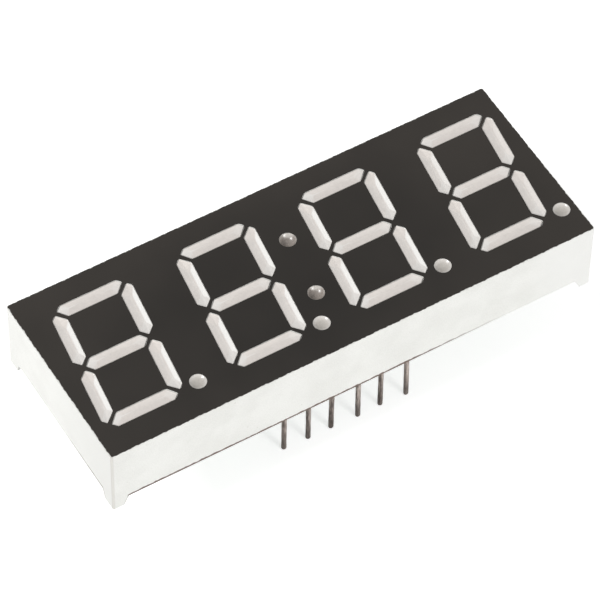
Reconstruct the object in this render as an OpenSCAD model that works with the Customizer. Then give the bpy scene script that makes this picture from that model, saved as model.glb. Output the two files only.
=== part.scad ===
// Four-digit seven-segment LED display module with a colon, for clocks and meters.
// A white moulded reflector holds a light cavity for every segment and dot. Its face
// is printed dark round the segments. A circuit board with the LED chips closes it
// from behind, and clear epoxy cast into the back fills it all and holds it together.
// Origin: centre of the plane under the feet. +X runs along the row of digits,
// +Y towards their tops and +Z out of the face. All sizes are in millimetres.

/* [Body] */
// Length of the moulded body
body_l = 50.2; // [49.8:0.1:62]
// Width of the moulded body
body_w = 19.15; // [18.9:0.05:24]
// Height from the feet to the printed face
body_h = 8; // [6.5:0.1:12]
// Thickness of the outer walls
wall_t = 0.9; // [0.7:0.05:1]
// Radius of the upright corners
corner_r = 0.2; // [0.1:0.05:1]
// Thickness of the printed layer on the face
ink_t = 0.03; // [0.02:0.01:0.1]

/* [Feet] */
// Height of the four corner feet under the walls
foot_h = 1.1; // [0.6:0.1:1.6]
// Length of each foot along the long walls, at its sole
foot_long = 1.15; // [0.8:0.05:3]
// Length of each foot along the short walls, at its sole
foot_short = 1.5; // [1:0.05:4]
// How much further each foot reaches along the long wall where it joins it
flare_long = 0.5; // [0:0.1:1]
// How much further each foot reaches along the short wall where it joins it
flare_short = 0.35; // [0:0.05:1]

/* [Digits] */
// Distance from one digit to the next
digit_pitch = 12.7; // [12.6:0.1:13.2]
// Lean of the digits from upright
slant_deg = 7.6; // [0:0.1:10]
// Shift of all the digits towards the top edge
digit_shift = 0.13; // [-0.3:0.01:0.3]
// Distance between the centre lines of a digit's two side strokes
stroke_pitch_x = 6.8; // [6.2:0.1:7]
// Distance between the centre lines of neighbouring cross strokes
stroke_pitch_y = 6.35; // [6:0.05:6.6]
// Width of the three cross strokes
bar_w = 1.45; // [1.1:0.05:1.6]
// Width of the four side strokes
post_w = 1.38; // [1.1:0.02:1.6]
// Distance from a corner of the centre lines to the tip of a cross stroke
bar_tip = 0.25; // [0.15:0.01:0.5]
// Distance from a corner of the centre lines to the tip of a side stroke
post_tip = 0.29; // [0.15:0.01:0.5]
// Set-back of a cross stroke's end over its own width
bar_bevel = 0.86; // [0.7:0.01:1.2]
// Set-back of a side stroke's end over its own width
post_bevel = 1; // [0.7:0.01:1.2]
// Size of the bevel on the digit's four outer corners
corner_cut = 1.2; // [0.8:0.05:1.4]

/* [Dots] */
// Diameter of the decimal points and colon dots
dot_d = 1.6; // [1.2:0.05:1.8]
// Distance from a digit's leaning centre line to its decimal point
point_x = 5.46; // [5.3:0.01:5.5]
// Distance of the colon dots from the digits' middle line
colon_y = 3.2; // [2.8:0.1:3.6]
// Depth of the pit in the epoxy of each colon dot
colon_pit = 0.45; // [0.1:0.05:0.5]
// Depth of the pit in the epoxy of each decimal point
point_pit = 0.25; // [0.1:0.05:0.5]
// Width of the level rim of epoxy round each pit
pit_rim = 0.05; // [0.02:0.01:0.1]

/* [Light cavities] */
// Gap between a chip and the side of a segment's cavity, where it meets the board
seg_well_gap = 0.225; // [0.15:0.025:0.3]
// Gap between a chip or its wire and the side of a dot's cavity, where it meets the board
dot_well_gap = 0.075; // [0.04:0.005:0.1]
// Wall left between a cavity and the core pockets behind the face
core_wall = 0.6; // [0.4:0.05:0.7]
// Thickness of the face over the core pockets
face_t = 0.9; // [0.6:0.1:1.4]

/* [Circuit board] */
// Thickness of the board with its solder mask
board_t = 1; // [0.8:0.1:1.6]
// Gap between the board's edge and the walls, all round
board_gap = 0.2; // [0.1:0.05:0.25]
// Gap between the board and the reflector's grid, which the epoxy fills
film_t = 0.05; // [0.03:0.01:0.1]
// Thickness of the copper, which lies flush in the mask
copper_t = 0.035; // [0.018:0.001:0.07]
// Width of the copper tracks
track_w = 0.2; // [0.15:0.01:0.22]
// Margin of a chip's copper pad round its silver epoxy
chip_pad_rim = 0.07; // [0.04:0.01:0.09]
// Side of the square copper pad at the end of each bond wire
bond_pad = 0.45; // [0.3:0.05:0.5]
// Gap between a chip's pad and its bond pad
pad_gap = 0.17; // [0.14:0.01:0.2]
// Diameter of the plated plug that joins the two copper layers
via_d = 0.3; // [0.2:0.05:0.35]
// Width of the copper ring round each plug
via_ring_w = 0.1; // [0.08:0.01:0.12]
// Distance of a digit's copper ring inside the centre lines of its strokes
ring_inset = 0.7; // [0.65:0.05:0.8]
// Step from a decimal point's bond pad up to its long track
point_lift = 0.6; // [0.55:0.05:0.65]
// Gap between a stake's hole and the track that runs past it
lane_gap = 0.1; // [0.08:0.01:0.15]
// Distance between the two tracks that run up side by side there
lane_step = 0.8; // [0.7:0.1:0.9]

/* [Stakes] */
// Diameter of the four moulded stakes that hold the board
stake_d = 1; // [0.8:0.1:1]
// Gap between a stake and its hole in the board
stake_gap = 0.05; // [0.03:0.01:0.06]
// Width of the shoulder round each stake, which seats on the board
shoulder_w = 0.5; // [0.4:0.05:0.6]
// How far the flattened head of each stake spreads past the stake
stake_head_rim = 0.25; // [0.2:0.05:0.3]
// Epoxy left over the flattened heads
head_cover = 0.45; // [0.3:0.05:0.6]
// Distance of the upper stakes from the digits' middle line
stake_up = 5.1; // [4.9:0.05:5.2]
// Distance of the lower stakes from the digits' middle line
stake_down = 4.65; // [4.6:0.01:4.7]

/* [Epoxy] */
// Thickness of the epoxy behind the board
back_fill_t = 0.8; // [0.6:0.1:1.4]
// Depth of the epoxy's back below the rim of the walls
fill_recess = 0.3; // [0.1:0.1:0.8]

/* [Pins] */
// Diameter of the round pins with their tin coat
pin_d = 0.5; // [0.4:0.02:0.54]
// Thickness of the tin coat
tin_t = 0.01; // [0.005:0.005:0.02]
// Bare length of each pin between the epoxy and the tin coat
tin_stop = 1.2; // [1:0.1:1.3]
// Distance between neighbouring pins in a row
pin_pitch = 2.54; // [2.5:0.01:2.6]
// Distance between the two rows of pins
row_pitch = 15.24; // [15.2:0.01:15.3]
// Length of the pins below the feet
pin_below = 6.5; // [2:0.1:20]
// Length of the pins past the front of the board
pin_above = 0.3; // [0.25:0.05:0.4]
// Length of the rounded tip of each pin
pin_tip = 0.12; // [0.05:0.01:0.2]

/* [Solder] */
// Gap between a pin and its plated hole, which the solder fills
pin_hole_gap = 0.1; // [0.08:0.01:0.12]
// Width of the copper rings round those holes
pin_ring_w = 0.125; // [0.1:0.005:0.14]
// Epoxy left over the solder behind the board
solder_cover = 0.35; // [0.3:0.05:0.5]
// Length of each pin that stands clear of the solder in front of the board
pin_clear = 0.12; // [0.05:0.01:0.2]
// Gap between the solder and the sides of the reflector's pocket over each row of pins
relief_gap = 0.025; // [0.02:0.005:0.05]
// Gap between the tops of the pins and the roof of that pocket
relief_clear = 0.25; // [0.15:0.05:0.5]

/* [Chips] */
// Side of each square LED chip
chip_w = 0.3; // [0.2:0.01:0.34]
// Height of each LED chip
chip_h = 0.2; // [0.15:0.01:0.3]
// How far the silver epoxy spreads past the corners of the chip
attach_rim = 0.02; // [0.01:0.01:0.03]
// Thickness of the silver epoxy under each chip
attach_t = 0.02; // [0.01:0.01:0.04]
// Diameter of the gold bond wires
wire_d = 0.03; // [0.02:0.005:0.05]
// Straight rise of the wire above the chip
wire_rise = 0.1; // [0.05:0.05:0.3]

/* [Hidden] */
$fn = 48;
over = 1;                                   // how far a cutter reaches past what it cuts
digits = [0:3];
pins_per_row = 6;
strokes = ["a", "b", "c", "d", "e", "f", "g"];

face_z = body_h - ink_t;                    // top of the white moulding
board_z = foot_h + fill_recess + back_fill_t; // back of the board
front_z = board_z + board_t;                // front of the board, where the bosses seat
grid_z = front_z + film_t;                  // back of the reflector's grid
fill_z = foot_h + fill_recess;              // back of the epoxy
tray_l = body_l - 2 * wall_t;               // inside of the walls, where board and epoxy lie
tray_w = body_w - 2 * wall_t;

bare_d = pin_d - 2 * tin_t;                 // a pin without its tin coat
pin_hole_d = pin_d + 2 * pin_hole_gap;
pin_pad_d = pin_hole_d + 2 * pin_ring_w;
fillet_back = back_fill_t - solder_cover;
fillet_front = pin_above - pin_clear;
relief_w = pin_pad_d + 2 * relief_gap;
relief_h = pin_above + relief_clear - film_t;
boss_d = stake_d + 2 * shoulder_w;
stake_head_d = stake_d + 2 * stake_head_rim;
stake_head_h = back_fill_t - head_cover;

attach_d = chip_w * sqrt(2) + 2 * attach_rim;
chip_pad = attach_d + 2 * chip_pad_rim;
via_pad_d = via_d + 2 * via_ring_w;
wire_span = chip_pad / 2 + pad_gap + bond_pad / 2; // from a chip to the far end of its wire
seg_well_w = chip_w + 2 * seg_well_gap;
dot_well_d = wire_span + chip_w + 2 * dot_well_gap;

half_x = stroke_pitch_x / 2;
half_y = stroke_pitch_y;
ring_x = half_x - ring_inset;               // corner of a digit's copper ring
ring_y = half_y - ring_inset;
cut_sum = corner_cut - (post_w + bar_w) / 2; // where the corner bevel lies from the centre lines' corner

// ---- where things lie ----

function chip_name(d, s) = str("digit_", d + 1, "_chip_", s);

// Middle of a digit on the digits' middle line; half steps give the gaps between digits.
function digit_x(d) = (d - 1.5) * digit_pitch;

// A point of an upright digit, leaned over and put where digit d stands.
function place(d, p) = [digit_x(d) + p.x + tan(slant_deg) * p.y, p.y + digit_shift];

function lean(d, points) = [for (p = points) place(d, p)];

function mirror_x(points) = [for (p = points) [-p.x, p.y]];
function mirror_y(points) = [for (p = points) [p.x, -p.y]];

// Pins are counted anticlockwise seen from the face, from the lower left.
function pin_xy(i) =
    let (row = i <= pins_per_row ? -1 : 1)
    let (k = row < 0 ? i - 1 : 2 * pins_per_row - i)
    [(k - (pins_per_row - 1) / 2) * pin_pitch, row * row_pitch / 2];

// Where each stroke's chip sits on an upright digit, and which way its wire runs.
function chip_xy(s) =
    s == "a" ? [0, half_y] :
    s == "b" ? [half_x, half_y / 2] :
    s == "c" ? [half_x, -half_y / 2] :
    s == "d" ? [0, -half_y] :
    s == "e" ? [-half_x, -half_y / 2] :
    s == "f" ? [-half_x, half_y / 2] :
    s == "g" ? [0, 0] :
    [point_x, -half_y - wire_span / 2];

function wire_dir(s) =
    s == "a" || s == "d" || s == "g" ? [1, 0] :
    s == "f" || s == "e" || s == "dp" ? [0, 1] : [0, -1];

function chip_at(d, s) = place(d, chip_xy(s));
function bond_at(d, s) = chip_at(d, s) + wire_span * wire_dir(s);

function point_dot(d) = place(d, [point_x, -half_y]);

// The colon leans with the digits; its two chips face away from the middle line.
function colon_dot(side) = place(1.5, [0, side * colon_y]);
function colon_chip(side) = colon_dot(side) + [0, wire_span / 2];
function colon_bond(side) = colon_dot(side) - [0, wire_span / 2];

function dots() = concat(
    [for (d = digits) point_dot(d)],
    [colon_dot(1), colon_dot(-1)]
);

function stakes() = [for (d = [0.5, 2.5], y = [stake_up, -stake_down]) place(d, [0, y])];

// ---- outlines of the strokes on an upright digit ----

// Points of the top stroke's left end: outer edge, tip and inner edge.
function bar_end() =
    let (tip_n = (cut_sum - bar_tip) / (1 + bar_bevel))
    [[-half_x + cut_sum + bar_w / 2, half_y + bar_w / 2],
     [-half_x + cut_sum - tip_n, half_y - tip_n],
     [-half_x + bar_tip + bar_bevel * bar_w / 2, half_y - bar_w / 2]];

function reversed(points) = [for (i = [len(points) - 1:-1:0]) points[i]];

function top_bar() = concat(bar_end(), reversed(mirror_x(bar_end())));

function middle_end() =
    [[-half_x + bar_tip + bar_bevel * bar_w / 2, bar_w / 2],
     [-half_x + bar_tip, 0],
     [-half_x + bar_tip + bar_bevel * bar_w / 2, -bar_w / 2]];

function middle_bar() = concat(middle_end(), reversed(mirror_x(middle_end())));

// The upper left stroke, from its top tip anticlockwise.
function upper_left_post() =
    let (tip_s = (cut_sum - post_tip) / (1 + post_bevel))
    let (shoulder = post_tip + post_bevel * post_w / 2)
    [[-half_x + tip_s, half_y - cut_sum + tip_s],
     [-half_x - post_w / 2, half_y - cut_sum - post_w / 2],
     [-half_x - post_w / 2, shoulder],
     [-half_x, post_tip],
     [-half_x + post_w / 2, shoulder],
     [-half_x + post_w / 2, half_y - shoulder]];

function outline(s) =
    s == "a" ? top_bar() :
    s == "b" ? mirror_x(upper_left_post()) :
    s == "c" ? mirror_x(mirror_y(upper_left_post())) :
    s == "d" ? mirror_y(top_bar()) :
    s == "e" ? mirror_y(upper_left_post()) :
    s == "f" ? upper_left_post() :
    middle_bar();

// ---- the light cavities ----

module strokes_and_dots_2d() {
    for (d = digits, s = strokes) polygon(lean(d, outline(s)));
    for (p = dots()) translate(p) circle(d = dot_d);
}

// One segment's cavity: a straight-sided funnel from the board up to the face.
module segment_funnel(d, s) {
    middle = place(d, chip_xy(s));
    stroke_w = wire_dir(s).x == 1 ? bar_w : post_w;
    shrink = seg_well_w / stroke_w;
    translate([middle.x, middle.y, grid_z])
        linear_extrude(height = face_z - grid_z, scale = 1 / shrink)
            polygon([for (p = lean(d, outline(s))) (p - middle) * shrink]);
}

module light_cavities() {
    for (d = digits, s = strokes) segment_funnel(d, s);
    for (p = dots())
        translate([p.x, p.y, grid_z])
            cylinder(d1 = dot_well_d, d2 = dot_d, h = face_z - grid_z);
}

// The epoxy shrinks as it sets and leaves a pit with sides at 45 degrees in each dot.
module pit(p, depth) {
    top_d = dot_d - 2 * pit_rim;
    translate([p.x, p.y, body_h - depth]) cylinder(d1 = top_d - 2 * depth, d2 = top_d, h = depth);
    translate([p.x, p.y, body_h]) cylinder(d = top_d, h = over);
}

module pits() {
    for (d = digits) pit(point_dot(d), point_pit);
    for (side = [-1, 1]) pit(colon_dot(side), colon_pit);
}

// ---- the core pockets behind the face, filled with epoxy too ----

module leaning_slab(d, x, y_low, y_high) {
    translate([0, 0, grid_z])
        linear_extrude(face_z - face_t - grid_z)
            polygon(lean(d, [[-x, y_low], [x, y_low], [x, y_high], [-x, y_high]]));
}

module core_pockets() {
    window_x = half_x - post_w / 2 - core_wall;
    window_low = bar_w / 2 + core_wall;
    window_high = half_y - bar_w / 2 - core_wall;
    channel_x = digit_pitch / 2 - half_x - post_w / 2 - core_wall;
    channel_y = half_y + bar_w / 2;
    for (d = digits) {
        leaning_slab(d, window_x, window_low, window_high);
        leaning_slab(d, window_x, -window_high, -window_low);
    }
    difference() {
        for (d = [0.5, 1.5, 2.5]) leaning_slab(d, channel_x, -channel_y, channel_y);
        for (p = dots())
            translate([p.x, p.y, grid_z - over])
                cylinder(d = dot_d + 2 * core_wall, h = face_z);
        for (p = stakes())
            translate([p.x, p.y, grid_z - over]) cylinder(d = boss_d, h = face_z);
    }
}

// Pockets over the soldered ends of the pins
module solder_relief() {
    for (side = [-1, 1])
        translate([0, side * row_pitch / 2, grid_z + relief_h / 2])
            cube([pins_per_row * pin_pitch, relief_w, relief_h], center = true);
}

// ---- the moulding ----

module rounded_slab(l, w, r, h) {
    linear_extrude(h) {
        square([l - 2 * r, w], center = true);
        square([l, w - 2 * r], center = true);
        for (x = [-1, 1], y = [-1, 1])
            translate([x * (l / 2 - r), y * (w / 2 - r)]) circle(r = r);
    }
}

// The gap between two feet of one wall, wider at the sole than at the wall.
module foot_gap(length, foot, flare, across) {
    sole = length / 2 - foot;
    rotate([90, 0, 0])
        translate([0, 0, -across / 2 - over])
            linear_extrude(across + 2 * over)
                polygon([[-sole - flare, -foot_h], [sole + flare, -foot_h],
                         [sole - flare, foot_h], [flare - sole, foot_h]]);
}

// A boss seats on the board, and its stake goes through to a flattened head behind.
module stake(p) {
    head_z = board_z - stake_head_h;
    translate([p.x, p.y, front_z]) cylinder(d = boss_d, h = film_t + over);
    translate([p.x, p.y, head_z]) cylinder(d = stake_d, h = front_z + over - head_z);
    translate([p.x, p.y, head_z]) cylinder(d = stake_head_d, h = stake_head_h);
}

module reflector_housing() {
    color("white") {
        difference() {
            rounded_slab(body_l, body_w, corner_r, face_z);
            translate([-tray_l / 2, -tray_w / 2, -over]) cube([tray_l, tray_w, grid_z + over]);
            foot_gap(body_l, foot_long, flare_long, body_w);
            rotate(90) foot_gap(body_w, foot_short, flare_short, body_l);
            solder_relief();
            core_pockets();
            light_cavities();
        }
        for (p = stakes()) stake(p);
    }
}

module face_ink() {
    color([0.22, 0.21, 0.2])
        translate([0, 0, face_z])
            difference() {
                rounded_slab(body_l, body_w, corner_r, ink_t);
                translate([0, 0, -over]) linear_extrude(ink_t + 2 * over) strokes_and_dots_2d();
            }
}

// ---- the circuit board ----

// A run of upright and level copper through the given points
module track(points) {
    for (i = [1:len(points) - 1]) {
        low = [min(points[i - 1].x, points[i].x), min(points[i - 1].y, points[i].y)];
        high = [max(points[i - 1].x, points[i].x), max(points[i - 1].y, points[i].y)];
        translate(low - [track_w, track_w] / 2) square(high - low + [track_w, track_w]);
    }
}

// Copper between two points of a leaning digit, cut off level at both ends
module leaning_track(d, p, q) {
    side = [track_w / 2, 0];
    polygon([place(d, p) - side, place(d, p) + side, place(d, q) + side, place(d, q) - side]);
}

// Each digit's chips share one ring of copper inside its strokes.
module digit_ring(d) {
    for (side = [-1, 1]) {
        leaning_track(d, [side * ring_x, -ring_y - track_w / 2], [side * ring_x, ring_y + track_w / 2]);
        track([place(d, [-ring_x, side * ring_y]), place(d, [ring_x, side * ring_y])]);
        leaning_track(d, [0, side * ring_y], [0, side * half_y]);
        for (y = [-1, 1] * half_y / 2)
            track([place(d, [side * half_x, y]), place(d, [side * ring_x, y])]);
    }
    track([place(d, [-ring_x, 0]), place(d, [0, 0])]);
}

// Heights of the eight long tracks on the back, one for each kind of segment
function bus_y(s) = bond_at(0, s).y + (s == "dp" ? point_lift : 0);

// Columns between the digits where front tracks run up from the lower row of pins, and
// the row between that row and the digits
lane_left = place(0.5, [0, -stake_down]).x + stake_d / 2 + stake_gap + lane_gap + track_w / 2;
lane_right = digit_x(2.5);
lane_low = -row_pitch / 2 + pin_pad_d / 2 + track_w;

// Pins that reach their long track over the front copper
function pin_routes() = [
    [pin_xy(1), [lane_left, pin_xy(1).y], [lane_left, bus_y("b")]],
    [pin_xy(2), [pin_xy(2).x, lane_low], [lane_left + lane_step, lane_low],
     [lane_left + lane_step, bus_y("g")]],
    [pin_xy(3), [pin_xy(3).x, bus_y("e")]],
    [pin_xy(4), [pin_xy(4).x, bus_y("c")]],
    [pin_xy(6), [lane_right, pin_xy(6).y], [lane_right, bus_y("dp")]],
    [pin_xy(9), [pin_xy(9).x, bus_y("f")]]
];

// The four pins that feed the digits' rings
function ring_routes() =
    let (left = place(0, [ring_x - ring_inset, ring_y]), right = place(3, [ring_inset - ring_x, ring_y]))
    [[pin_xy(12), [left.x, pin_xy(12).y], left],
     [pin_xy(11), [pin_xy(11).x, left.y]],
     [pin_xy(8), [pin_xy(8).x, left.y], place(2, [0, ring_y])],
     [pin_xy(7), [right.x, pin_xy(7).y], right]];

function last(points) = points[len(points) - 1];

function vias() = concat(
    [for (d = digits, s = strokes) bond_at(d, s)],
    [for (d = digits) [bond_at(d, "dp").x, bus_y("dp")]],
    [for (r = pin_routes()) last(r)],
    [[colon_bond(1).x, bus_y("dp")]]
);

module pads(places, size) {
    for (p = places) translate(p) square(size, center = true);
}

// One layer of copper: its own tracks and pads, with the rings of the pins and plugs
module copper_layer(z) {
    translate([0, 0, z])
        linear_extrude(copper_t)
            difference() {
                union() {
                    children();
                    for (p = vias()) translate(p) circle(d = via_pad_d);
                    for (i = [1:2 * pins_per_row]) translate(pin_xy(i)) circle(d = pin_pad_d);
                }
                for (i = [1:2 * pins_per_row]) translate(pin_xy(i)) circle(d = pin_hole_d);
            }
}

function all_bonds() = concat(
    [for (d = digits, s = concat(strokes, ["dp"])) bond_at(d, s)],
    [colon_bond(1), colon_bond(-1)]
);

function all_chips() = concat(
    [for (d = digits, s = concat(strokes, ["dp"])) chip_at(d, s)],
    [colon_chip(1), colon_chip(-1)]
);

module front_tracks() {
    for (d = digits) digit_ring(d);
    for (r = concat(pin_routes(), ring_routes())) track(r);
    for (d = digits) {
        ring_corner = place(d, [ring_x, -ring_y]);
        track([bond_at(d, "dp"), [bond_at(d, "dp").x, bus_y("dp")]]);
        track([chip_at(d, "dp"), [ring_corner.x, chip_at(d, "dp").y], ring_corner]);
    }
    track([place(1, [ring_x, colon_chip(1).y - digit_shift]), colon_chip(1)]);
    track([colon_chip(-1), [colon_chip(-1).x, colon_chip(1).y]]);
    track([colon_bond(1), [colon_bond(1).x, bus_y("dp")]]);
    track([colon_bond(-1), [colon_bond(1).x, colon_bond(-1).y]]);
}

module front_copper() {
    color("goldenrod")
        copper_layer(front_z - copper_t) {
            front_tracks();
            pads(all_chips(), chip_pad);
            pads(all_bonds(), bond_pad);
        }
}

module back_tracks() {
    for (s = concat(strokes, ["dp"]))
        track([[bond_at(0, s).x, bus_y(s)], [bond_at(3, s).x, bus_y(s)]]);
    track([pin_xy(10), [pin_xy(10).x, bus_y("a")]]);
    track([pin_xy(5), [pin_xy(5).x, bus_y("d")]]);
}

// The plugs belong to the back copper and reach the front copper through the board.
module back_copper() {
    color("goldenrod") {
        copper_layer(board_z) back_tracks();
        for (p = vias())
            translate([p.x, p.y, board_z]) cylinder(d = via_d, h = board_t - copper_t);
    }
}

module board_slab() {
    l = tray_l - 2 * board_gap;
    w = tray_w - 2 * board_gap;
    translate([-l / 2, -w / 2, board_z]) cube([l, w, board_t]);
}

module circuit_board() {
    color("darkgreen")
        difference() {
            board_slab();
            for (i = [1:2 * pins_per_row])
                translate([pin_xy(i).x, pin_xy(i).y, board_z - over])
                    cylinder(d = pin_hole_d, h = board_t + 2 * over);
            for (p = stakes())
                translate([p.x, p.y, board_z - over])
                    cylinder(d = stake_d + 2 * stake_gap, h = board_t + 2 * over);
            front_copper();
            back_copper();
        }
}

// ---- pins and solder ----

// A straight wire, dipped in tin from its tip to just above the feet
module pin(i) {
    shank_z = pin_tip - pin_below;
    tin_z = fill_z - tin_stop;
    color("dimgray")
        translate([pin_xy(i).x, pin_xy(i).y, 0]) {
            translate([0, 0, -pin_below]) cylinder(d1 = pin_d - 2 * pin_tip, d2 = pin_d, h = pin_tip);
            translate([0, 0, shank_z]) cylinder(d = pin_d, h = tin_z - shank_z);
            translate([0, 0, tin_z]) cylinder(d = bare_d, h = front_z + pin_above - tin_z);
        }
}

// One joint fills the plated hole and runs up to a fillet on each side.
module solder_joint() {
    rotate_extrude()
        polygon([[bare_d / 2, -fillet_back], [pin_pad_d / 2, 0], [pin_hole_d / 2, 0],
                 [pin_hole_d / 2, board_t], [pin_pad_d / 2, board_t],
                 [bare_d / 2, board_t + fillet_front]]);
}

module solder_joints() {
    color("silver")
        for (i = [1:2 * pins_per_row])
            translate([pin_xy(i).x, pin_xy(i).y, board_z]) solder_joint();
}

// ---- chips and bond wires ----

module chip(p) {
    color("khaki")
        translate([p.x - chip_w / 2, p.y - chip_w / 2, front_z + attach_t])
            cube([chip_w, chip_w, chip_h]);
}

module die_attach() {
    color("lightgray")
        for (p = all_chips()) translate([p.x, p.y, front_z]) cylinder(d = attach_d, h = attach_t);
}

// A wire rises from the chip, turns over in a half circle and drops to its pad.
module bond_wire(from, to) {
    chip_top = attach_t + chip_h;
    turn_z = chip_top + wire_rise;
    heading = atan2(to.y - from.y, to.x - from.x);
    translate([from.x, from.y, front_z])
        rotate(heading) {
            translate([0, 0, chip_top]) cylinder(d = wire_d, h = wire_rise);
            translate([wire_span, 0, 0]) cylinder(d = wire_d, h = turn_z);
            translate([wire_span / 2, 0, turn_z])
                rotate([90, 0, 0])
                    rotate_extrude(angle = 180) translate([wire_span / 2, 0]) circle(d = wire_d);
        }
}

module bond_wires() {
    color("gold") {
        for (d = digits, s = concat(strokes, ["dp"])) bond_wire(chip_at(d, s), bond_at(d, s));
        for (side = [-1, 1]) bond_wire(colon_chip(side), colon_bond(side));
    }
}

// ---- the epoxy casting ----

module epoxy_fill() {
    color([0.85, 0.83, 0.8, 0.6])
        difference() {
            union() {
                translate([-tray_l / 2, -tray_w / 2, fill_z]) cube([tray_l, tray_w, grid_z - fill_z]);
                solder_relief();
                core_pockets();
                light_cavities();
                translate([0, 0, face_z]) linear_extrude(ink_t) strokes_and_dots_2d();
            }
            pits();
            board_slab();
            for (p = stakes()) stake(p);
            for (i = [1:2 * pins_per_row]) pin(i);
            solder_joints();
            die_attach();
            bond_wires();
            for (p = all_chips()) chip(p);
        }
}

// ---- the assembly ----

reflector_housing();
face_ink();
epoxy_fill();
circuit_board();
front_copper();
back_copper();
solder_joints();
die_attach();
bond_wires();
for (i = [1:2 * pins_per_row]) pin(i);
for (d = digits, s = concat(strokes, ["dp"]))
    chip(chip_at(d, s));
chip(colon_chip(1));  // colon_chip_upper
chip(colon_chip(-1));  // colon_chip_lower
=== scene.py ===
import math

import bmesh
import bpy
import numpy as np
from mathutils import Matrix, Vector
from mathutils.geometry import delaunay_2d_cdt


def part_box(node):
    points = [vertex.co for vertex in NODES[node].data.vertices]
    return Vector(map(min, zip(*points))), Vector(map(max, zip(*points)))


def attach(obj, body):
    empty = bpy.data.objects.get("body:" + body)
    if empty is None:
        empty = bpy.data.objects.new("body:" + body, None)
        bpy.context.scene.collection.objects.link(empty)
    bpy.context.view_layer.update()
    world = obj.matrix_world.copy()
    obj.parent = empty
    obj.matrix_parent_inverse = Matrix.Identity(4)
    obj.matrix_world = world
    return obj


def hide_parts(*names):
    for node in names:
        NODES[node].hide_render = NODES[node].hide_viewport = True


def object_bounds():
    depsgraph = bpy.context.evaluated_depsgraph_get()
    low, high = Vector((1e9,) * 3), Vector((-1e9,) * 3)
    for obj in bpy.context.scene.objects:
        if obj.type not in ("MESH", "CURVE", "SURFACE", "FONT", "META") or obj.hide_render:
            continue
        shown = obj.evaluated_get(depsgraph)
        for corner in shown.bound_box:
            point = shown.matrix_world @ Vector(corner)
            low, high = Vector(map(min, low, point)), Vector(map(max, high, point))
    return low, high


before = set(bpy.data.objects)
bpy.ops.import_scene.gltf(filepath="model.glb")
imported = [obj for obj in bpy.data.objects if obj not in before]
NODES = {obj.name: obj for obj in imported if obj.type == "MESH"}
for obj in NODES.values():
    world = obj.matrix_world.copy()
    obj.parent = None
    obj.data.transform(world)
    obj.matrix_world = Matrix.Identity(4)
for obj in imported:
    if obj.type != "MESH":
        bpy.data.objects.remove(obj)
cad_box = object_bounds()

# ---- Table, camera and lamps ----
# The display stands on its pins on a pale table. One lamp stands on the left, a weaker one low in
# front and a little to the right, and a pale room gives the rest.

MM = 0.001
TABLE_Z, TABLE_HALF = cad_box[0][2], 3.0
AZIMUTH, ELEVATION, ROLL = math.radians(-31.67), math.radians(53.063), math.radians(1.084)
DISTANCE, LENS = 400.8 * MM, 263.47            # the lens in millimetres
AIM = (-0.15 * MM, 1.837 * MM)                 # right and up from the middle between the feet


class Signal:
    """A node socket on which Python arithmetic adds Math nodes."""

    def __init__(self, finish, socket):
        self.finish, self.socket = finish, socket

    def maths(self, operation, *values):
        """A Math node on numbers and signals."""
        return self.finish.node("ShaderNodeMath", {"operation": operation}, dict(enumerate(values)))

    def __add__(self, other):
        return self.maths("ADD", self, other)

    def __sub__(self, other):
        return self.maths("SUBTRACT", self, other)

    def __rsub__(self, other):
        return self.maths("SUBTRACT", other, self)

    def __mul__(self, other):
        return self.maths("MULTIPLY", self, other)

    def __truediv__(self, other):
        return self.maths("DIVIDE", self, other)

    def __pow__(self, other):
        return self.maths("POWER", self, other)

    def __abs__(self):
        return self.maths("ABSOLUTE", self)

    __radd__, __rmul__ = __add__, __mul__

    def between(self, low, high):
        """0 below low, 1 above high and a smooth step from one to the other."""
        return self.finish.node("ShaderNodeMapRange", {"interpolation_type": "SMOOTHSTEP"},
                                {"Value": self, "From Min": low, "From Max": high})


class Finish:
    """A material and the one way its nodes are added. The uniform values of its shader come first."""

    def __init__(self, name, **uniform):
        self.material = bpy.data.materials.new(name)
        self.material.use_nodes = True
        self.tree = self.material.node_tree
        self.shader = self.tree.nodes["Principled BSDF"]
        for socket, value in uniform.items():
            self.shader.inputs[socket.replace("_", " ").title().replace("Ior", "IOR")].default_value = value

    def node(self, kind, settings=None, inputs=None, output=0):
        """One node: its settings are set first, then the values or links of its sockets."""
        made = self.tree.nodes.new(kind)
        for name, value in (settings or {}).items():
            setattr(made, name, value)
        for name, value in (inputs or {}).items():
            if isinstance(value, Signal):
                self.tree.links.new(value.socket, made.inputs[name])
            else:
                made.inputs[name].default_value = value
        return Signal(self, made.outputs[output])

    def place(self):
        """The point of the surface in millimetres."""
        at = self.node("ShaderNodeTexCoord", output="Object")
        return self.node("ShaderNodeVectorMath", {"operation": "SCALE"}, {0: at, "Scale": 1 / MM})

    def axis(self, point, letter):
        """One coordinate of a point."""
        return self.node("ShaderNodeSeparateXYZ", None, {0: point}, letter)

    def noise(self, point, per_mm, detail=3.0, rough=0.5):
        """Cloudy noise from 0 to 1, with per_mm clouds to a millimetre."""
        return self.node("ShaderNodeTexNoise", None,
                         {"Vector": point, "Scale": per_mm, "Detail": detail, "Roughness": rough})

    def mix(self, share, first, second):
        """One colour run into another."""
        return self.node("ShaderNodeMix", {"data_type": "RGBA"}, {0: share, 6: first, 7: second}, 2)

    def feed(self, **sockets):
        """Links what varies over the surface to the shader."""
        for name, signal in sockets.items():
            self.tree.links.new(signal.socket, self.shader.inputs[name.replace("_", " ").title()])

    def bump(self, height, depth_mm, strength=1.0):
        """Lets a height from 0 to 1 tilt the light by a relief of that depth."""
        self.feed(normal=self.node("ShaderNodeBump", None,
                                   {"Height": height, "Distance": depth_mm * MM, "Strength": strength}))


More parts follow.
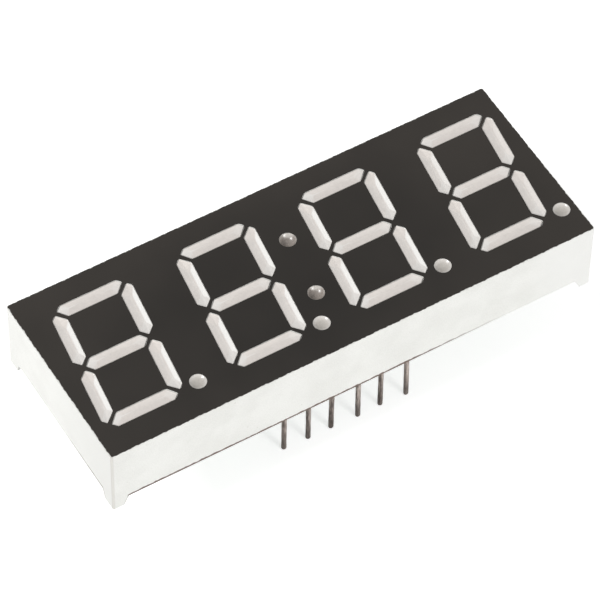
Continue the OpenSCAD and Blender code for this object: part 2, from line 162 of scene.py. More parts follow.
def colour(red, green, blue):
    """Linear light from a colour as a screen shows it, 0 to 255."""
    return tuple(v / 255 / 12.92 if v <= 10 else ((v / 255 + 0.055) / 1.055) ** 2.4
                 for v in (red, green, blue)) + (1,)


def mesh_object(name, points, faces):
    """An object with the given points and faces, in metres, whose place is in its mesh."""
    mesh = bpy.data.meshes.new(name)
    mesh.from_pydata(np.asarray(points).tolist(), [], faces)
    mesh.update()
    made = bpy.data.objects.new(name, mesh)
    bpy.context.collection.objects.link(made)
    return made


def lamp(name, place, size, watts):
    """A round white lamp at a place in metres, turned towards the display."""
    light = bpy.data.lights.new(name, "AREA")
    light.shape, light.size, light.energy = "DISK", size, watts
    made = bpy.data.objects.new(name, light)
    made.location = place
    made.rotation_euler = (-Vector(place)).to_track_quat("-Z", "Y").to_euler()
    bpy.context.collection.objects.link(made)


back = Vector((math.sin(AZIMUTH) * math.cos(ELEVATION), -math.cos(AZIMUTH) * math.cos(ELEVATION),
               math.sin(ELEVATION)))
right = Vector((0, 0, 1)).cross(back).normalized()
up = back.cross(right)
right, up = math.cos(ROLL) * right + math.sin(ROLL) * up, math.cos(ROLL) * up - math.sin(ROLL) * right
camera = bpy.data.objects.new("camera", bpy.data.cameras.new("camera"))
camera.data.lens, camera.data.clip_start = LENS, 0.01
camera.matrix_world = Matrix.Translation(AIM[0] * right + AIM[1] * up + DISTANCE * back) @ Matrix(
    (right, up, back)).transposed().to_4x4()
bpy.context.collection.objects.link(camera)
bpy.context.scene.camera = camera
bpy.context.scene.view_settings.view_transform = "Standard"

lamp("left_lamp", (-1.05, 0.1, 0.95), 0.5, 13.4)
lamp("front_lamp", (0.35, -1.3, 0.4), 0.6, 9.5)

room = bpy.data.worlds.new("room")
bpy.context.scene.world = room
room.use_nodes = True
light_of_room = room.node_tree.nodes["Background"].inputs
light_of_room["Color"].default_value, light_of_room["Strength"].default_value = (1, 1, 1, 1), 0.3

corners = ((-1, -1), (1, -1), (1, 1), (-1, 1))
table = mesh_object("table", [(x * TABLE_HALF, y * TABLE_HALF, TABLE_Z) for x, y in corners], [(0, 1, 2, 3)])
pale = Finish("pale_table", base_color=(0.86, 0.86, 0.86, 1), roughness=0.9, specular_ior_level=0.1,
              emission_color=(1, 1, 1, 1))
seen, mirrored, through = (pale.node("ShaderNodeLightPath", output=ray)
                           for ray in ("Is Camera Ray", "Is Glossy Ray", "Is Transmission Ray"))
seen = seen.maths("MAXIMUM", seen.maths("MAXIMUM", seen, mirrored), through)
pale.feed(emission_strength=seen * 0.67)       # white to the eye, with no more light on the display
table.data.materials.append(pale.material)


# ---- White moulded body ----
# One injection moulding in opaque white plastic: four walls with a foot at each corner, a face
# with a funnel for every segment and dot, and four stakes that are melted flat behind the board.

def shown_as(piece, finish, slot, *nodes):
    """Gives a new piece its finish, and lets it stand for its solids on the one rigid body."""
    piece.data.materials.clear()
    piece.data.materials.append(finish.material)
    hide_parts(*nodes)
    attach(piece, "root")
    return piece


TOUCHING = 0.0005                              # millimetres; corners this close are one


def merged_copy(node, name):
    """A copy of a solid's loose triangles with their shared corners joined and flat faces made whole."""
    work = bmesh.new()
    work.from_mesh(NODES[node].data)
    bmesh.ops.remove_doubles(work, verts=work.verts, dist=TOUCHING * MM)
    bmesh.ops.dissolve_limit(work, angle_limit=math.radians(0.5), verts=work.verts, edges=work.edges)
    mesh = bpy.data.meshes.new(name)
    work.to_mesh(mesh)
    work.free()
    made = bpy.data.objects.new(name, mesh)
    bpy.context.collection.objects.link(made)
    return made


def smooth(piece, degrees):
    """Shades a piece smooth, and keeps the edges sharp at which it turns by more than so many degrees."""
    piece.data.shade_smooth()
    piece.data.set_sharp_from_angle(angle=math.radians(degrees))


HALF_LENGTH, HALF_WIDTH = 25.1, 9.575          # of the body, in millimetres
LONG_FOOT, LONG_FLARE = 1.15, 0.4545           # a foot on a long wall: its width and the slope of its flank
SHORT_FOOT, SHORT_FLARE = 1.5, 0.318           # the same on a short wall

# The plastic is mottled, with a few grey specks.
white = Finish("white_moulding", roughness=0.42, ior=1.49)
at = white.place()
x, y, z = (white.axis(at, letter) for letter in "XYZ")
cloud = white.noise(at, 0.35, 2.0)
grain = white.noise(at, 9.0, 3.0, 0.6)
speck, speck_cell = (white.node("ShaderNodeTexVoronoi", None, {"Vector": at, "Scale": 0.9}, output)
                     for output in ("Distance", "Color"))
speck_on = white.axis(speck_cell, "X").between(0.55, 0.6) * (1 - speck.between(0.035, 0.075))
body_white = white.mix(cloud.between(0.3, 0.7) * 0.4 + grain.between(0.3, 0.7) * 0.6,
                       colour(228, 228, 223), colour(244, 244, 240))
body_white = white.mix(speck_on * 0.4, body_white, colour(168, 160, 150))

# Painted shade and light: the left wall is painted darker towards the front, and the front wall painted
# lighter at its right end. The upright edge between the two is greyer.
in_front, on_left = 1 - y.between(-9.52, -9.5), 1 - x.between(-25.06, -25.04)
to_corner = ((abs(x) - HALF_LENGTH) ** 2.0 + (abs(y) - HALF_WIDTH) ** 2.0) ** 0.5
upright = (1 - to_corner.between(0.12, 0.28)) * (1 - x.between(-1.0, 1.0)) * (1 - y.between(-1.0, 1.0))
body_white = white.mix(on_left * (1 - y.between(-10.0, 6.0)), body_white, colour(224, 224, 220))
body_white = white.mix(in_front * x.between(17.0, 22.0) * 0.7, body_white, colour(240, 240, 237))
body_white = white.mix(upright * 0.45, body_white, colour(190, 184, 176))

# A painted shadow lies in a ragged dark line along the lower edge of both walls and follows the flanks of the
# feet: the shade under the body.
low_shadow_line = 1 - (z + (white.noise(at, 1.6, 3.0, 0.6) - 0.5) * 0.4).between(1.31, 1.37)
long_flank_shadow = 1 - abs(x - z * LONG_FLARE + (HALF_LENGTH - LONG_FOOT)).between(0.08, 0.16)
short_flank_shadow = 1 - abs(y - z * SHORT_FLARE + (HALF_WIDTH - SHORT_FOOT)).between(0.08, 0.16)
front_shadow_line = x.between(-23.7, -23.4) * (1 - x.between(5.0, 17.0))
left_shadow_line = y.between(-7.9, -7.7) * (1 - y.between(-6.0, 2.0))
front_shadow_line = front_shadow_line.maths("MAXIMUM", front_shadow_line, long_flank_shadow * 0.25) * in_front
left_shadow_line = left_shadow_line.maths("MAXIMUM", left_shadow_line, short_flank_shadow) * on_left
body_white = white.mix(low_shadow_line * (front_shadow_line * 0.95 + left_shadow_line * 0.6), body_white, colour(76, 44, 18))
white.feed(base_color=body_white, roughness=0.38 + grain * 0.12)
white.bump(grain, 0.006, 0.35)

body = merged_copy("reflector_housing", "moulded_body")
edge = body.modifiers.new("mould_radius", "BEVEL")
edge.width, edge.segments, edge.limit_method, edge.angle_limit = 0.03 * MM, 2, "ANGLE", math.radians(30)
edge.use_clamp_overlap = True
smooth(body, 35)
shown_as(body, white, "white_moulding", "reflector_housing")


# ---- Printed face ----
# A matt charcoal layer rolled on the face, paler towards the edges. It stops a hair short of every
# funnel and of the outer edge, in a slightly wavy line that leaves a thin white rim.

def top_loops(node):
    """The height of a flat solid's top and its outlines as loops of (x, y), in metres, the longest first: the
    edges at which only one level face meets."""
    mesh = NODES[node].data
    points = np.empty(len(mesh.vertices) * 3)
    mesh.vertices.foreach_get("co", points)
    points = points.reshape(-1, 3)
    top = points[:, 2].max()
    keys, ids = np.unique(np.round(points / (TOUCHING * MM)).astype(np.int64), axis=0, return_inverse=True)
    flat = [[ids[v] for v in f.vertices] for f in mesh.polygons if f.normal.z > 0.99 and
            all(points[v, 2] > top - 0.001 * MM for v in f.vertices)]
    sides = {(f[i], f[(i + 1) % len(f)]) for f in flat for i in range(len(f))}
    after = {a: b for a, b in sides if (b, a) not in sides}
    loops = []
    while after:
        start, here = next(iter(after.items()))
        loop = [start]
        while here != start:
            loop.append(here)
            here = after.pop(here)
        after.pop(start)
        loops.append(keys[loop, :2] * TOUCHING * MM)
    return top, sorted(loops, key=lambda c: -np.ptp(c[:, 0]))


def corners_only(loop):
    """The loop without the points that lie on a straight run."""
    before, after = loop - np.roll(loop, 1, 0), np.roll(loop, -1, 0) - loop
    turn = before[:, 0] * after[:, 1] - before[:, 1] * after[:, 0]
    return loop[np.abs(turn) > 1e-4 * np.hypot(*before.T) * np.hypot(*after.T)]


def area(loop):
    """The area inside a loop, below zero when it runs clockwise."""
    x, y = loop.T
    return 0.5 * np.sum(x * np.roll(y, -1) - y * np.roll(x, -1))


def spread(loop, step):
    """The loop with points a step apart on its straight runs, and the outward normal at each."""
    points, normals = [], []
    sign = 1 if area(loop) > 0 else -1
    for here, there in zip(loop, np.roll(loop, -1, 0)):
        run = there - here
        count = max(1, int(round(np.hypot(*run) / step)))
        share = (np.arange(count) / count)[:, None]
        points.append(here + share * run)
        normals.append(np.tile(sign * np.array([run[1], -run[0]]) / np.hypot(*run), (count, 1)))
    points, normals = np.concatenate(points), np.concatenate(normals)
    normals = normals + np.roll(normals, 1, 0)
    return points, normals / np.hypot(*normals.T)[:, None]


FULL_TURN = 6.28                               # radians, for chance phases


def wavy(points, chance, waves):
    """Sines of the given lengths in metres with chance phases, run along the loop: from 0 to 1."""
    along = np.cumsum(np.hypot(*(points - np.roll(points, 1, 0)).T))
    length = along[-1]
    total = sum(np.sin(2 * np.pi * along * max(1, round(length / w)) / length
                       + chance.uniform(0, FULL_TURN)) for w in waves)
    return 0.5 + 0.5 * total / len(waves)


STEP = 0.12 * MM                               # between two points of an outline
ROUNDED = 0.42 * MM                            # the radius at the corners of the print
chance = np.random.default_rng(14)
face_top, face_loops = top_loops("face_ink")
ink_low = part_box("face_ink")[0].z
ink_points, ink_edges, ink_rims = [], [], []
for number, loop in enumerate(face_loops):
    points, normals = spread(corners_only(loop), STEP)
    wave = wavy(points, chance, (3.1 * MM, 1.3 * MM, 0.7 * MM, 0.45 * MM))[:, None]
    if number == 0:                            # up to 0.13 mm short of the outer edge
        points = points - normals * 0.13 * wave * MM
        turning = np.sign(points) * (np.abs(points).max(0) - ROUNDED)
        off = points - turning
        in_corner = (off * np.sign(points) > 0).all(1)[:, None]
        pulled_in = turning + off * np.minimum(1, ROUNDED / np.hypot(*off.T))[:, None]
        points = np.where(in_corner, pulled_in, points)
    else:                                      # up to 0.033 mm back from a funnel
        points = points + normals * (0.035 * wave - 0.002) * MM
        for _ in range(2):
            points = points / 2 + (np.roll(points, 1, 0) + np.roll(points, -1, 0)) / 4
    start = len(ink_points)
    ink_points += [tuple(p) for p in points]
    ink_edges += [(start + i, start + (i + 1) % len(points)) for i in range(len(points))]
    ink_rims.append(points)


def inside(points, loop):
    """Whether each point lies in the loop: how often a line to the right of it crosses the loop."""
    x, y = points[:, :1], points[:, 1:]
    x0, y0 = loop.T
    x1, y1 = np.roll(loop, -1, 0).T
    crossed = ((y0 > y) != (y1 > y)) & (x < (x1 - x0) * (y - y0) / (y1 - y0 + 1e-30) + x0)
    return crossed.sum(1) % 2 == 1


flat_points, _, flat_faces, *_ = delaunay_2d_cdt([Vector(p) for p in ink_points], ink_edges, [], 1, 1e-9,
                                                 False)
flat_points, flat_faces = np.array(flat_points), np.array([tuple(f) for f in flat_faces])
middles = flat_points[flat_faces].mean(1)
keep = inside(middles, ink_rims[0])
for hole in ink_rims[1:]:
    keep &= ~inside(middles, hole)
flat_faces = flat_faces[keep]
count = len(flat_points)
across = flat_points[flat_faces]
face_down = np.cross(across[:, 1] - across[:, 0], across[:, 2] - across[:, 0]) < 0
flat_faces[face_down] = flat_faces[face_down][:, ::-1]
sides = {(f[i], f[(i + 1) % 3]) for f in flat_faces.tolist() for i in range(3)}
rims = [(a, b) for a, b in sides if (b, a) not in sides]
ink = mesh_object(
    "printed_face",
    np.concatenate([np.c_[flat_points, np.full(count, height)] for height in (face_top, ink_low)]),
    flat_faces.tolist() + (flat_faces[:, ::-1] + count).tolist()
    + [(a, a + count, b + count, b) for a, b in rims])

charcoal = Finish("charcoal_print", roughness=0.55, ior=1.5)
at = charcoal.place()
cloud, grain = charcoal.noise(at, 0.12, 2.0), charcoal.noise(at, 11.0, 2.0, 0.6)
x, y = charcoal.axis(at, "X"), charcoal.axis(at, "Y")
worn = (((x + 3) / 27) ** 2.0 + ((y + 3) / 12) ** 2.0 * 0.85).between(-0.35, 1.4)
mottled = cloud.between(0.3, 0.7) * 0.4 + grain * 0.6
fresh_ink = charcoal.mix(mottled, colour(34, 31, 28), colour(48, 44, 40))
worn_ink = charcoal.mix(mottled, colour(49, 45, 41), colour(63, 58, 53))
charcoal.feed(base_color=charcoal.mix(worn, fresh_ink, worn_ink), roughness=0.5 + grain * 0.15)
charcoal.bump(grain, 0.008, 0.5)
shown_as(ink, charcoal, "face_print", "face_ink")


# ---- Epoxy casting ----
# Clear epoxy, slightly milky, poured in from the back. It stands flush in the segments, sinks to
# a hollow in the round dots and closes the back over the board.

def stack(rings):
    """A closed skin through rings of equally many points, from the lowest outside to the top. Fans close the
    first and the last ring."""
    rings = np.array(rings)
    levels, count = rings.shape[:2]
    points = np.concatenate([rings.reshape(-1, 3), [rings[0].mean(0), rings[-1].mean(0)]])
    ring = np.arange(count)
    after = np.roll(ring, -1)
    level = np.arange(levels - 1)[:, None] * count
    quads = np.stack([level + ring, level + after, level + count + after, level + count + ring], -1)
    top = (levels - 1) * count
    low_fan = np.c_[after, ring, np.full(count, levels * count)]
    top_fan = np.c_[top + ring, top + after, np.full(count, levels * count + 1)]
    return points, quads.reshape(-1, 4).tolist() + low_fan.tolist() + top_fan.tolist()


def joined(skins):
    """Several skins as one list of points and one of faces."""
    points, faces, start = [], [], 0
    for p, f in skins:
        points.append(p)
        faces += [[c + start for c in face] for face in f]
        start += len(p)
    return np.concatenate(points), faces


def along_sides(loop, counts):
    """Points spread evenly over each side of the loop, so many to a side."""
    sides = [here + np.arange(count)[:, None] / count * (there - here)
             for here, there, count in zip(loop, np.roll(loop, -1, 0), counts)]
    return np.concatenate(sides)


SURFACE = face_top - 0.034 * MM                # the resin, just under the printed layer
# A segment is a shallow trough of milk under a clear top. Each pair is a share of the way from the outline
# to the trough's deepest line, and a depth in millimetres.
MILK = [(0.9, 0.2), (0.8, 0.197), (0.68, 0.175), (0.5, 0.137), (0.34, 0.1), (0.2, 0.068), (0.06, 0.035)]
TOP = [(0.03, 0.0), (0.08, 0.0), (0.2, 0.003), (0.4, 0.006)]
ROUND_DOT = 20                                 # a dot's outline has at least so many corners
COLON_ROW = -0.005                             # the colon's dots lie above this line, in metres
AROUND = 48                                    # points round a dot
DOT_RINGS = np.array([1, 1, 0.985, 0.97, 0.94, 0.9, 0.85, 0.79, 0.72, 0.64, 0.55, 0.46, 0.36, 0.25, 0.12])
BOWL = {"colon": 0.84, "point": 1.137}         # the radius of a dot's hollow, in millimetres
# The milk's two tones, its roughness and how strongly it reflects. The pale tone lies where the milk is pale
# or painted light; the colon's dark deep tone is painted shade of its deep hollow.
LOOKS = {"segment": ((234, 227, 221), (254, 253, 250), 0.16, 0.5),
         "point": ((201, 196, 189), (217, 213, 208), 0.2, 0.6),
         "colon": ((150, 141, 134), (208, 203, 197), 0.28, 1.0)}


def segment_window(shape):
    """The skin of a segment and how white its milk is at each point, which is mostly painted light and shade.
    An upright segment is painted whitest along its right side, as a lit wall, and at its lower end, and least
    white at its upper end. A level one is painted whiter at both ends than between them, and most at the
    left."""
    sides = np.roll(shape, -1, 0) - shape
    lengths = np.hypot(*sides.T)
    axis = sides[lengths.argmax()] / lengths.max()
    upright = abs(axis[1]) > 0.7
    across = np.array([axis[1], -axis[0]]) * (1 if axis[1] - axis[0] > 0 else -1)
    counts = np.maximum(1, np.round(lengths / STEP).astype(int))
    rim = along_sides(shape, counts)
    middle = (shape.max(0) + shape.min(0)) / 2
    # The trough's deepest line lies 0.17 mm to the right of the middle, or behind it in a level segment, and
    # stops short of both ends.
    along = (rim - middle) @ axis
    reach = np.abs(along).max() - (1.7 if upright else 1.25) * MM
    goal = middle + across * 0.17 * MM + np.clip(along, -reach, reach)[:, None] * axis
    depth_scale = 1.0 if upright else 0.38     # a level segment's trough is shallower
    rings = [np.c_[rim + share * (goal - rim), np.full(len(rim), SURFACE - depth * MM * scale)]
             for scale, levels in ((depth_scale, MILK), (1, TOP)) for share, depth in levels]

    long_side = np.repeat(lengths > 0.7 * lengths.max(), counts).astype(float)
    outer_side = ((rim - goal) @ across > 0).astype(float)
    for _ in range(3 if upright else 7):
        long_side = long_side / 2 + (np.roll(long_side, 1) + np.roll(long_side, -1)) / 4
    shares = np.array([share for share, _ in MILK])
    # The painted light band is fainter in the right digit.
    painted_band_strength = np.interp(middle[0], [11 * MM, 15.5 * MM, 22.5 * MM], [1, 0.7, 0.3]) * upright
    painted_light_band = np.interp(shares, [0.72, 0.88], [1, 0])[:, None] * long_side * outer_side * painted_band_strength
    far_end = (1 - long_side) * (along * (axis[1] if upright else axis[0]) > 0)
    if upright:
        painted_light_base = 0.28 + 0.3 * (1 - long_side) - 0.5 * far_end
    else:
        painted_light_base = 0.1 + 0.5 * (1 - long_side) - 0.25 * far_end
    milk_and_painted_light = np.maximum(painted_light_band, np.tile(painted_light_base, (len(MILK), 1)))
    return stack(rings), np.r_[milk_and_painted_light.ravel(), np.zeros(len(TOP) * len(rim)), 0, 0]


def dot_window(shape, kind):
    """The skin of a dot and how white its milk is at each point: paler towards the rim, and in the colon's
    dots painted paler on the upper right as painted light. The hollow is a part of a sphere: its depth is the
    root of the bowl's radius squared less the distance from the middle squared, less what that root is at the
    rim."""
    middle = shape.mean(0)
    radius = np.hypot(*(shape - middle).T).max() - 0.01 * MM
    turn = np.linspace(0, 2 * np.pi, AROUND + 1)[:-1]
    circle = np.c_[np.cos(turn), np.sin(turn)]
    bowl, rim = BOWL[kind] * MM, radius * 0.97
    pit = np.sqrt(bowl ** 2 - np.minimum(DOT_RINGS * radius, rim) ** 2) - math.sqrt(bowl ** 2 - rim ** 2)
    pit[0] = pit.max() + 0.35 * MM             # the underside of the skin
    rings = [np.c_[middle + circle * radius * share, np.full(AROUND, SURFACE - depth)]
             for share, depth in zip(DOT_RINGS, pit)]
    if kind == "point":
        milk_and_painted_light = np.repeat(np.interp(DOT_RINGS, [0.55, 0.93], [0, 1]), AROUND)
    else:                                      # the upper right is painted paler: painted light on the lit far wall
        painted_lit_side = np.interp(DOT_RINGS[:, None] * (circle @ (0.5, 0.866)), [0.5, 0.8], [0, 1])
        milk_and_painted_light = np.maximum(painted_lit_side, np.interp(DOT_RINGS, [0.82, 0.95], [0, 0.4])[:, None]).ravel()
    return stack(rings), np.r_[milk_and_painted_light, 1, 0]


windows = {kind: [] for kind in LOOKS}
for loop in face_loops[1:]:
    shape = corners_only(loop if area(loop) > 0 else loop[::-1])
    if len(shape) < ROUND_DOT:
        windows["segment"].append(segment_window(shape))
    else:
        kind = "colon" if shape.mean(0)[1] > COLON_ROW else "point"
        windows[kind].append(dot_window(shape, kind))

for kind, (deep, pale, rough, shine) in LOOKS.items():
    epoxy = Finish("epoxy_" + kind, ior=1.5, specular_ior_level=shine)
    at = epoxy.place()
    cloud, mottle = epoxy.noise(at, 1.2, 3.0, 0.5), epoxy.noise(at, 5.0, 2.0, 0.6)
    milk = epoxy.mix(cloud.between(0.35, 0.65) * 0.5 + mottle.between(0.35, 0.65) * 0.5,
                     colour(*[c * 0.975 for c in deep]), colour(*[c * 1.015 for c in deep]))
    skins, painted_light_per_window = zip(*windows[kind])
    resin = mesh_object("epoxy_" + kind + "_windows", *joined(skins))
    # The milk's paleness at each point, most of it painted light, goes to the shader as an attribute.
    milk_and_painted_light = resin.data.attributes.new("milk_and_painted_light", "FLOAT", "POINT")
    milk_and_painted_light.data.foreach_set("value", np.concatenate(painted_light_per_window).astype(np.float32))
    pale_milk_and_painted_light = epoxy.node("ShaderNodeAttribute", {"attribute_name": "milk_and_painted_light"}, output="Fac")
    if kind == "segment":                      # the flush top is nearly clear
        epoxy.feed(alpha=1 - epoxy.axis(at, "Z").between(7.944, 7.958) * 0.96)
    else:
        pale_milk_and_painted_light = pale_milk_and_painted_light + (mottle - 0.5) * 0.7
    epoxy.feed(base_color=epoxy.mix(pale_milk_and_painted_light, milk, colour(*pale)), roughness=rough + cloud * 0.06)
    epoxy.bump(cloud, 0.006, 0.3)
    smooth(resin, 50)
    shown_as(resin, epoxy, "clear_epoxy", "epoxy_fill")

# The back of the casting: a level pool that creeps up the walls and the pins.
back_low = np.array(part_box("epoxy_fill")[0])
board_low, board_high = (np.array(c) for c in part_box("circuit_board"))
PIN_ROW, PIN_RADIUS = 7.62, 0.25               # millimetres
# The middle of each pin.
PINS = {f"pin_{i}": np.mean([tuple(c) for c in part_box(f"pin_{i}")], 0) for i in range(1, 13)}


def graded(half, count):
    """Positions from -half to half that lie closer together towards both ends: half times the sine."""
    return half * np.sin(np.linspace(-np.pi / 2, np.pi / 2, count))


def pool(half_x, half_y, level, top):
    """A closed slab. Its underside is level but for a slight swell of sines and for creep, which fades off
    from the walls and the pins as e to the minus distance."""
    near_pin = np.linspace(-0.7, 0.7, 9) * MM
    x = np.concatenate([graded(half_x, 141)] + [pin[0] + near_pin for pin in PINS.values()])
    y = np.concatenate([graded(half_y, 61)] + [side * PIN_ROW * MM + near_pin for side in (-1, 1)])
    x, y = np.unique(np.round(x, 7)), np.unique(np.round(y, 7))
    x, y = x[np.abs(x) <= half_x], y[np.abs(y) <= half_y]
    gx, gy = np.meshgrid(x, y, indexing="ij")
    wall = np.minimum(half_x - np.abs(gx), half_y - np.abs(gy))
    creep = 0.14 * MM * np.exp(-wall / (0.22 * MM))
    for pin in PINS.values():
        off = np.maximum(np.hypot(gx - pin[0], gy - pin[1]) - PIN_RADIUS * MM, 0)
        creep = np.maximum(creep, 0.2 * MM * np.exp(-off / (0.16 * MM)))
    swell = 0.012 * MM * (np.sin(gx / MM * 0.31 + 1) * np.sin(gy / MM * 0.5) + np.sin(gx / MM * 0.83) * 0.4)
    low = np.stack([gx, gy, level + swell - creep], -1)
    nx, ny = gx.shape
    index = np.arange(nx * ny).reshape(nx, ny)
    quad = np.stack([index[:-1, :-1], index[:-1, 1:], index[1:, 1:], index[1:, :-1]], -1).reshape(-1, 4)
    rim = np.concatenate([index[:, 0], index[-1, 1:], index[-2::-1, -1], index[0, -2:0:-1]])
    upper = low.reshape(-1, 3)[rim].copy()
    upper[:, 2] = top
    count, after = len(rim), np.roll(np.arange(len(rim)), -1)
    upper_rim = nx * ny + np.arange(count)
    walls = np.c_[rim, rim[after], upper_rim[after], upper_rim]
    return np.concatenate([low.reshape(-1, 3), upper]), quad.tolist() + walls.tolist() + [upper_rim.tolist()]


GAP = 0.01 * MM                                # between the resin, the walls and the board
epoxy = Finish("epoxy_back_fill", roughness=0.1, ior=1.5, alpha=0.14)
at = epoxy.place()
cloud = epoxy.noise(at, 0.5, 4.0, 0.55)
epoxy.feed(base_color=epoxy.mix(cloud.between(0.3, 0.7), colour(206, 203, 196), colour(228, 226, 220)),
           roughness=0.06 + cloud * 0.12)
epoxy.bump(cloud, 0.03, 0.3)
resin = mesh_object("epoxy_back", *pool(-back_low[0] - GAP, -back_low[1] - GAP, back_low[2],
                                        board_low[2] - GAP))
smooth(resin, 40)
shown_as(resin, epoxy, "clear_epoxy", "epoxy_fill")


# ---- Circuit board and its copper ----
# Glass-cloth laminate under green solder mask, with copper on both sides. The mask covers the
# copper, but for the rings round the pins, which are tinned.

PITCH = 2.54                                   # from pin to pin, in millimetres


def keeps(node, finish):
    """A solid whose own shape stays, with a new finish."""
    NODES[node].data.materials.clear()
    NODES[node].data.materials.append(finish.material)


def near_pins(finish, at, radius):
    """1 within radius millimetres of a pin's axis: the distance to the nearest hole of both rows."""
    x, y = finish.axis(at, "X"), finish.axis(at, "Y")
    row = abs(abs(y) - PIN_ROW)
    column = x.maths("PINGPONG", x / PITCH + 0.5, 0.5) * PITCH
    away = (row * row + column * column) ** 0.5
    return (1 - away.between(radius - 0.03, radius + 0.03)) * (1 - abs(x).between(6.9, 7.0))


def mask_green(finish, at):
    """Solder mask: the relief of the cloth's threads, the mottled green and its clouds."""
    x, y = finish.axis(at, "X"), finish.axis(at, "Y")
    threads = x.maths("SINE", x * 9.0) * y.maths("SINE", y * 9.0)
    cloud = finish.noise(at, 0.6, 3.0)
    return threads, finish.mix(cloud.between(0.3, 0.7), colour(22, 84, 48), colour(30, 100, 58)), cloud


board = Finish("masked_laminate", roughness=0.28, ior=1.52)
at = board.place()
threads, green, cloud = mask_green(board, at)
normal = board.node("ShaderNodeNewGeometry", output="Normal")
flat = abs(board.axis(normal, "Z")).between(0.4, 0.6)
board.feed(base_color=board.mix(flat, colour(176, 164, 120), green), roughness=0.24 + cloud * 0.1)
board.bump(threads * 0.5 + 0.5, 0.006, 0.5)
keeps("circuit_board", board)

for side, node in (("front", "front_copper"), ("back", "back_copper")):
    copper = Finish(side + "_copper", roughness=0.35, ior=1.5)
    at = copper.place()
    threads, green, cloud = mask_green(copper, at)
    bare = near_pins(copper, at, 0.5)
    masked = copper.mix(0.5, green, colour(70, 150, 84))
    copper.feed(base_color=copper.mix(bare, masked, colour(205, 200, 190)), metallic=bare * 0.9,
                roughness=0.3 + cloud * 0.12)
    copper.bump(threads * 0.5 + 0.5, 0.004, 0.4)
    keeps(node, copper)


# ---- Pins ----
# Twelve copper-clad wires, dipped in tin that has dulled to a brownish grey and cut off at a slant.
# They go through plated holes of the board and are soldered there. Handling has bent them a little.

def turned(profile, middle, wobble, around=32, bend=lambda height: (0, 0)):
    """A closed skin round an upright axis: at each (radius, height) of the profile a ring, whose radius
    wobble(turn, height) changes as a share and whose middle bend(height) shifts."""
    turn = np.linspace(0, 2 * np.pi, around + 1)[:-1]
    rings = []
    for radius, height in profile:
        r, shift = radius * (1 + wobble(turn, height)), bend(height)
        rings.append(np.c_[middle[0] + shift[0] + r * np.cos(turn), middle[1] + shift[1] + r * np.sin(turn),
                           np.full(around, height)])
    return stack(rings)


def tin_wobble(seed):
    """Uneven tin: slow swellings along the wire and flats round it, as sums of sines, a few hundredths of the
    radius."""
    phase = np.random.default_rng(seed).uniform(0, FULL_TURN, 6)
    return lambda turn, z: (0.016 * np.sin(z / MM * 1.7 + phase[0]) + 0.014 * np.sin(z / MM * 4.1 + phase[1])
                            + 0.014 * np.sin(2 * turn + z / MM * 0.15 + phase[2])
                            + 0.008 * np.sin(3 * turn - z / MM * 0.5 + phase[3])
                            + 0.005 * np.sin(5 * turn + z / MM * 1.2 + phase[4]))


# How far the tips are knocked to the right and to the back, in millimetres.
BENDS = {"pin_1": (0.06, 0.1), "pin_3": (-0.1, -0.04), "pin_4": (0.14, -0.17), "pin_5": (0.03, -0.11),
         "pin_6": (0.17, -0.28), "pin_8": (-0.05, 0.08), "pin_10": (0.07, 0.03), "pin_12": (-0.04, -0.06)}


def knocked(name):
    """How far a wire is knocked aside at each height: a smooth step over 2.6 mm below the board and a
    straight lean on top of it."""
    at_tip = np.array(BENDS.get(name, (0.02, 0.0))) * MM

    def shift(height):
        down = max(0.0, board_low[2] - 0.45 * MM - height)
        step = min(1.0, down / (2.6 * MM))
        return at_tip * (0.7 * step * step * (3 - 2 * step) + 0.3 * down / (7.5 * MM))
    return shift


tin = Finish("dull_tin", metallic=0.75, ior=1.5)
at = tin.place()
stretched = tin.node("ShaderNodeMapping", None, {"Vector": at, "Scale": (3.2, 3.2, 0.55)})
streak = tin.noise(stretched, 1.6, 4.0, 0.6)
spots = tin.noise(at, 6.0, 3.0, 0.6)
height = tin.axis(at, "Z")
low_end = 1 - height.between(-5.6, -2.6)
column = tin.axis(at, "X") / PITCH
side = (column.maths("FRACT", column) - 0.5) * PITCH       # millimetres to the right of a wire's middle
# The tin is streaky, with dark spots and a dark lower end. Each wire is painted paler on its right and darker
# on its left: painted light and shade.
tin_and_painted_shade = tin.mix(streak.between(0.35, 0.65) * 0.55 + side.between(-0.16, 0.1) * 0.45,
               colour(72, 62, 57), colour(190, 178, 170))
tin_and_painted_shade = tin.mix(spots.between(0.55, 0.75) * 0.6, tin_and_painted_shade, colour(70, 60, 54))
tin_and_painted_shade = tin.mix(low_end * 0.7, tin_and_painted_shade, colour(62, 53, 48))
tin.feed(base_color=tin_and_painted_shade, roughness=0.34 + spots * 0.25)
tin.bump(streak * 0.6 + spots * 0.4, 0.03, 0.5)
pin_low, pin_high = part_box("pin_1")
foot, length = pin_low.z, (pin_high.z - pin_low.z) / MM
# Radius and height above the foot, in millimetres: the rounded tip, the shank and the thinner end in the
# board.
tip = [(0.05, 0.0), (0.16, 0.003), (0.21, 0.012), (0.233, 0.035), (0.244, 0.08), (0.246, 0.16)]
shank = [(0.246, h) for h in np.linspace(0.35, 6.6, 42)]
in_board = [(0.232, 6.7), (0.232, 7.5), (0.232, length - 0.03), (0.2, length)]
profile = [(r * MM, foot + h * MM) for r, h in tip + shank + in_board]
for number, (name, middle) in enumerate(PINS.items()):
    points, faces = turned(profile, middle, tin_wobble(number + 3), bend=knocked(name))
    off = points[:, :2] - middle[:2] - knocked(name)(foot)
    slanting_cut = foot + 0.047 * MM + 0.2 * (off[:, 0] - off[:, 1])
    points[:, 2] = np.maximum(points[:, 2], slanting_cut)
    wire = mesh_object(name + "_wire", points, faces)
    smooth(wire, 50)
    shown_as(wire, tin, "tinned_pin", name)


# ---- Solder ----
# Tin solder wicked through each plated hole, with a hollow fillet up the wire on both sides.

